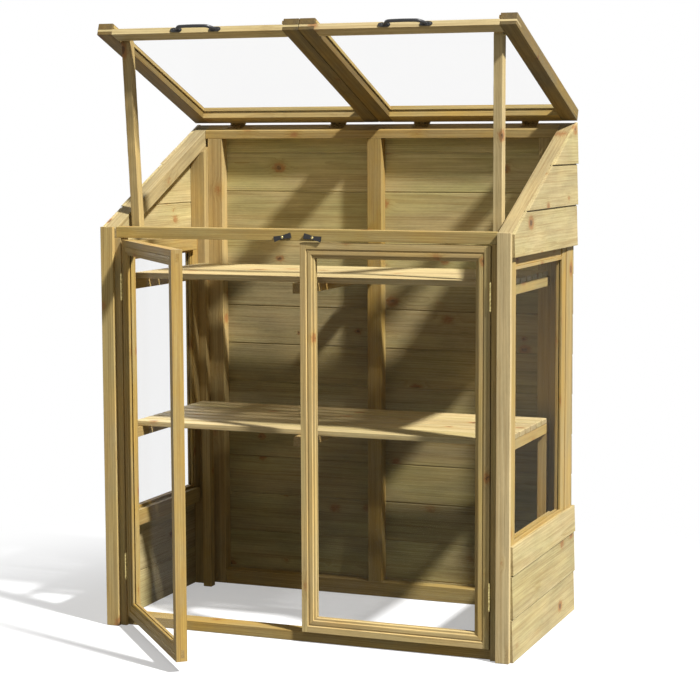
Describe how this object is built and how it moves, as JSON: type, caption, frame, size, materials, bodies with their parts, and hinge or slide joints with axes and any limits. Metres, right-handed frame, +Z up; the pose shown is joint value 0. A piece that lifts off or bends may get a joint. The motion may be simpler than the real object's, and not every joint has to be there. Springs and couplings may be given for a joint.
{
  "type": "mini greenhouse",
  "caption": "Timber mini greenhouse with hinged glazed front doors, propped glazed roof lids, clear side windows, lapped cladding and slatted shelves inside.",
  "frame": {"origin": "the middle of the front sill's underside, on the ground", "axes": "+X to the right seen from the front, +Y from the front towards the back, +Z up"},
  "size_m": [1.216, 1.0436, 1.7067],
  "materials": {
    "timber": "golden olive pressure-treated softwood, matt, with orange-brown knots",
    "pane": "clear smooth pane",
    "black": "black semi-gloss paint",
    "zinc": "pale yellow-zinc plated",
    "brass": "dull brass"
  },
  "bodies": {
    "frame": {"left_front_board": "timber", "right_front_board": "timber", "left_front_post": "timber", "right_front_post": "timber", "left_rafter": "timber", "right_rafter": "timber", "left_back_post": "timber", "right_back_post": "timber", "left_window_head": "timber", "right_window_head": "timber", "left_window_sill": "timber", "right_window_sill": "timber", "left_upper_cladding": "timber", "right_upper_cladding": "timber", "left_lower_cladding": "timber", "right_lower_cladding": "timber", "front_top_rail": "timber", "front_sill": "timber", "middle_back_post": "timber", "back_bottom_rail": "timber", "back_top_rail": "timber", "back_cladding": "timber", "top_shelf": "timber", "middle_shelf": "timber", "left_side_pane": "pane", "left_door_hinge_lower": "zinc", "left_door_hinge_upper": "zinc", "left_lid_hinge_outer": "brass", "left_lid_hinge_inner": "brass", "right_side_pane": "pane", "right_door_hinge_lower": "zinc", "right_door_hinge_upper": "zinc", "right_lid_hinge_outer": "brass", "right_lid_hinge_inner": "brass"},
    "left_door": {"left_door_hinge_stile": "timber", "left_door_closing_stile": "timber", "left_door_top_rail": "timber", "left_door_bottom_rail": "timber", "left_door_pane": "pane"},
    "left_lid": {"left_lid_outer_stile": "timber", "left_lid_inner_stile": "timber", "left_lid_front_rail": "timber", "left_lid_rear_rail": "timber", "left_lid_pane": "pane", "left_lid_handle": "black"},
    "left_prop": {"left_prop": "timber"},
    "left_turn_button": {"left_turn_button": "black"},
    "right_door": {"right_door_hinge_stile": "timber", "right_door_closing_stile": "timber", "right_door_top_rail": "timber", "right_door_bottom_rail": "timber", "right_door_pane": "pane"},
    "right_lid": {"right_lid_outer_stile": "timber", "right_lid_inner_stile": "timber", "right_lid_front_rail": "timber", "right_lid_rear_rail": "timber", "right_lid_pane": "pane", "right_lid_handle": "black"},
    "right_prop": {"right_prop": "timber"},
    "right_turn_button": {"right_turn_button": "black"}
  },
  "joints": [
    {"name": "left_lid_hinge", "type": "hinge", "parent": "frame", "child": "left_lid", "pos_m": [-0.304, 0.5845, 1.43572], "axis": [-1, 0, 0], "range_deg": [-46.2, 0]},
    {"name": "right_lid_hinge", "type": "hinge", "parent": "frame", "child": "right_lid", "pos_m": [0.304, 0.5845, 1.43572], "axis": [-1, 0, 0], "range_deg": [-46.2, 0]},
    {"name": "left_prop_pivot", "type": "hinge", "parent": "left_lid", "child": "left_prop", "pos_m": [-0.5565, 0.01958, 1.65216], "axis": [-1, 0, 0], "range_deg": [-65.5, 0]},
    {"name": "right_prop_pivot", "type": "hinge", "parent": "right_lid", "child": "right_prop", "pos_m": [0.5565, 0.01958, 1.65216], "axis": [-1, 0, 0], "range_deg": [-65.5, 0]},
    {"name": "left_door_hinge", "type": "hinge", "parent": "frame", "child": "left_door", "pos_m": [-0.542, -0.0458, 0.5685], "axis": [0, 0, -1], "range_deg": [-48.7, 61.3]},
    {"name": "right_door_hinge", "type": "hinge", "parent": "frame", "child": "right_door", "pos_m": [0.542, -0.0458, 0.5685], "axis": [0, 0, 1], "range_deg": [0, 110]},
    {"name": "left_button_turn", "type": "hinge", "parent": "frame", "child": "left_turn_button", "pos_m": [-0.048, -0.0428, 1.1205], "axis": [0, 1, 0], "continuous": true},
    {"name": "right_button_turn", "type": "hinge", "parent": "frame", "child": "right_turn_button", "pos_m": [0.04, -0.0428, 1.1205], "axis": [0, 1, 0], "continuous": true}
  ],
  "couplings": [
    {"joint": "left_prop_pivot", "follows": "left_lid_hinge", "ratio": 1.4177},
    {"joint": "right_prop_pivot", "follows": "right_lid_hinge", "ratio": 1.4177}
  ]
}
